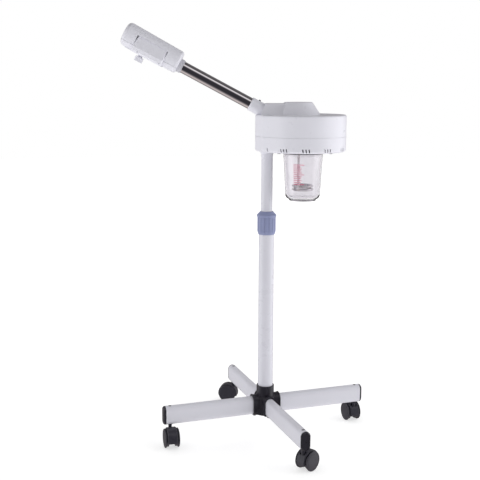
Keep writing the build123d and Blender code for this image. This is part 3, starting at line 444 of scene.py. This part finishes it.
# ---------------------------------------------------------------- studio
def plain(name, colour, glow=0.0):
    """A plain matt stage material, with a little glow of its own."""
    made = Finish(name, Roughness=1.0, Specular_IOR_Level=0.0)
    made.shader.inputs["Base Color"].default_value = (*colour, 1.0)
    made.shader.inputs["Emission Color"].default_value = (1, 1, 1, 1)
    made.shader.inputs["Emission Strength"].default_value = glow
    return made.material


def stage_mesh(name, verts, faces, material):
    """A mesh that belongs to the studio."""
    mesh = bpy.data.meshes.new(name)
    mesh.from_pydata(verts, [], faces)
    mesh.materials.append(material)
    made = bpy.data.objects.new(name, mesh)
    bpy.context.scene.collection.objects.link(made)
    return made


def make_floor():
    """A plain pale floor, wide enough to reach past every view."""
    turns = [2 * math.pi * index / FLOOR_SIDES for index in range(FLOOR_SIDES)]
    verts = [(FLOOR_REACH * math.cos(turn), FLOOR_REACH * math.sin(turn), 0.0) for turn in turns]
    white = plain("floor_white", (0.62, 0.62, 0.62), 0.60)
    floor = stage_mesh("floor", verts, [tuple(range(FLOOR_SIDES))], white)
    floor.visible_glossy = False


def make_card(name, centre, across, up, grey):
    """A grey card that takes light from one side and isn't seen itself."""
    corners = [centre - across - up, centre + across - up, centre + across + up, centre - across + up]
    card = stage_mesh(name, corners, [(0, 1, 2, 3)], plain(name + "_grey", (grey, grey, grey)))
    card.visible_camera = False
    card.visible_glossy = False
    card.visible_transmission = False


def make_tent():
    """What polished metal mirrors: a tube of soft grey bands round the object, along X."""
    verts, faces = [], []
    for index in range(TENT_SIDES):
        turn = 2 * math.pi * index / TENT_SIDES
        for x in (-TENT_HALF_LENGTH, TENT_HALF_LENGTH):
            verts.append((x, -TENT_R * math.cos(turn), TENT_R * math.sin(turn)))
    for index in range(TENT_SIDES):
        after = (index + 1) % TENT_SIDES
        faces.append((2 * index, 2 * index + 1, 2 * after + 1, 2 * after))
    made = Finish("tent_bands", Roughness=1.0, Specular_IOR_Level=0.0)
    made.shader.inputs["Base Color"].default_value = (0, 0, 0, 1)
    made.shader.inputs["Emission Strength"].default_value = 1.0
    parts = made.node("ShaderNodeSeparateXYZ")
    made.join(made.coords.outputs["Object"], parts.inputs["Vector"])
    turn = made.math("ARCTAN2", parts.outputs["Z"], made.math("MULTIPLY", parts.outputs["Y"], -1.0))
    ramp = made.node("ShaderNodeValToRGB")
    elements = ramp.color_ramp.elements
    while len(elements) < len(TENT_BANDS):
        elements.new(0.5)
    for element, (angle, colour) in zip(elements, TENT_BANDS):
        element.position = angle / 360.0 + 0.5
        element.color = (*colour, 1.0)
    made.join(made.ranged(turn, 0.0, 1.0, -math.pi, math.pi), ramp.inputs["Fac"])
    made.join(ramp.outputs["Color"], made.shader.inputs["Emission Color"])
    tent = stage_mesh("reflection_tent", verts, faces, made.material)
    tent.location.z = TENT_MIDDLE_Z
    tent.visible_camera = False
    tent.visible_diffuse = False
    tent.visible_shadow = False
    tent.visible_transmission = False


# Bands of the tent by height seen from the object's middle: 0 is level with the front, 90 is overhead.
TENT_BANDS = [
    (-180, (0.24, 0.22, 0.22)), (-125, (0.30, 0.28, 0.28)),
    (-100, (0.62, 0.55, 0.54)), (-80, (0.60, 0.54, 0.53)),
    (-56, (0.16, 0.15, 0.16)), (-36, (0.035, 0.033, 0.04)), (20, (0.035, 0.033, 0.04)),
    (34, (0.20, 0.19, 0.20)), (43, (0.85, 0.82, 0.84)), (55, (0.85, 0.82, 0.84)),
    (68, (0.10, 0.095, 0.10)), (110, (0.10, 0.095, 0.10)), (150, (0.20, 0.19, 0.20)),
    (180, (0.24, 0.22, 0.22)),
]


def make_light(name, place, aim, size, power):
    """A large soft square light."""
    data = bpy.data.lights.new(name, "AREA")
    data.shape = "RECTANGLE"
    data.size, data.size_y = size
    data.energy = power
    light = bpy.data.objects.new(name, data)
    light.location = place
    light.rotation_mode = "QUATERNION"
    light.rotation_quaternion = (Vector(aim) - Vector(place)).to_track_quat("-Z", "Y")
    light.visible_glossy = False
    light.visible_camera = False
    bpy.context.scene.collection.objects.link(light)


def make_studio():
    """White surroundings, a pale floor, soft side lights and grey cards above and in front."""
    scene = bpy.context.scene
    scene.view_settings.view_transform = "Standard"
    world = bpy.data.worlds.new("studio")
    world.use_nodes = True
    surround = world.node_tree.nodes["Background"]
    surround.inputs["Color"].default_value = (1.0, 1.0, 1.0, 1.0)
    surround.inputs["Strength"].default_value = 1.0
    scene.world = world
    make_floor()
    make_tent()
    make_card("card_front", Vector((0.1, -3.4, 1.2)), Vector((1.7, 0, 0)), Vector((0, 0, 1.6)), 0.2)
    make_card("card_top", Vector((0, -0.6, 2.6)), Vector((1.6, 0, 0)), Vector((0, 2.0, 0)), 0.2)
    make_light("key_right", (3.2, -0.3, 1.3), (0, 0, 0.7), (2.4, 2.4), 28)
    make_light("fill_left", (-3.2, -0.5, 1.2), (0, 0, 0.7), (2.4, 2.4), 8)


def make_camera():
    """Camera at the same viewing angle as a catalogue picture: level with the head, aimed a little down."""
    data = bpy.data.cameras.new("camera")
    data.sensor_width = 36.0
    data.lens = CAMERA_LENS
    camera = bpy.data.objects.new("camera", data)
    camera.location = CAMERA_PLACE
    pitch, roll = math.radians(90 - CAMERA_DOWN), math.radians(CAMERA_ROLL)
    camera.matrix_world = (Matrix.Translation(camera.location) @ Matrix.Rotation(pitch, 4, "X")
                           @ Matrix.Rotation(roll, 4, "Z"))
    bpy.context.scene.collection.objects.link(camera)
    bpy.context.scene.camera = camera


dress_frame(make_finishes())
add_details()
make_studio()
make_camera()
